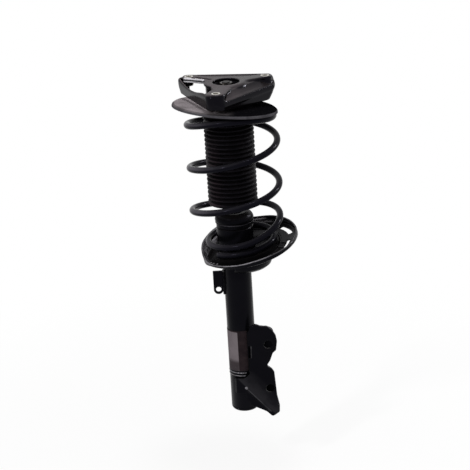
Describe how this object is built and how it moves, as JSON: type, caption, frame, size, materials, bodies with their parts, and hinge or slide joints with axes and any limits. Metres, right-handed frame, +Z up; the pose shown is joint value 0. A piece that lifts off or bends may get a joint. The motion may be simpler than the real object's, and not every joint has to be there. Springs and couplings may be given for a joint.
{
  "type": "suspension strut assembly",
  "caption": "MacPherson strut assembly: telescopic damper in a coil spring, with a dust boot, a turning top mount for three tower bolts and a clevis bracket for the steering knuckle.",
  "frame": {"origin": "centre of the bolt circle of the three tower bolts, level with the ears' top faces", "axes": "+Z up along the damper's axis, which stands 5 mm to +X of the origin; +X from the strut towards the knuckle bolts; the knuckle bolts lie along Y"},
  "size_m": [0.2175, 0.1905, 0.6442],
  "materials": {
    "black_paint": "gloss",
    "spring_coat": "gloss powder coat",
    "mount_casting": "gloss",
    "rubber": "matt",
    "boot_rubber": "satin, dusty",
    "foam": "matt foam",
    "cap_plastic": "gloss",
    "chrome_rod": "polished",
    "zinc": "zinc plated",
    "steel": "machined",
    "cage_plastic": "matt",
    "label_film": "matt, bare",
    "bright_band": "bare"
  },
  "bodies": {
    "top_mount": {"mount_shell": "mount_casting", "mount_inserts": "zinc", "mount_rubber": "rubber", "bush_sleeve": "steel", "rod_washer": "zinc", "rod_nut": "zinc", "upper_bearing_race": "steel", "piston_rod": "chrome_rod", "piston": "steel", "piston_ring": "cage_plastic", "piston_nut": "steel", "rebound_stop": "rubber"},
    "spring_cap": {"lower_bearing_race": "steel", "bearing_cage": "cage_plastic", "bearing_balls": "chrome_rod", "upper_spring_seat": "black_paint", "upper_spring_pad": "rubber", "jounce_bumper": "foam", "dust_boot": "boot_rubber"},
    "strut_body": {"coil_spring": "spring_coat", "lower_spring_pad": "rubber", "lower_spring_seat": "black_paint", "seat_collar": "black_paint", "seat_brace": "black_paint", "striker_cap": "cap_plastic", "outer_tube": "black_paint", "base_cup": "black_paint", "pressure_tube": "steel", "base_valve": "steel", "rod_guide": "steel", "rod_seal": "rubber", "gland_ring": "steel", "hose_bracket": "black_paint", "knuckle_bracket_front": "black_paint", "knuckle_bracket_rear": "black_paint", "bracket_web": "black_paint", "bare_label": "label_film", "label_bands": "bright_band"}
  },
  "joints": [
    {"name": "bearing_turn", "type": "hinge", "parent": "top_mount", "child": "spring_cap", "pos_m": [0.005, 0, -0.0344], "axis": [0, 0, 1], "range_deg": [-35, 35]},
    {"name": "strut_travel", "type": "slide", "parent": "spring_cap", "child": "strut_body", "axis": [0, 0, 1], "range_m": [0, 0.16], "stiffness_N_per_m": 22000, "springref_m": -0.06, "deforming": ["coil_spring", "dust_boot", "jounce_bumper"]}
  ]
}
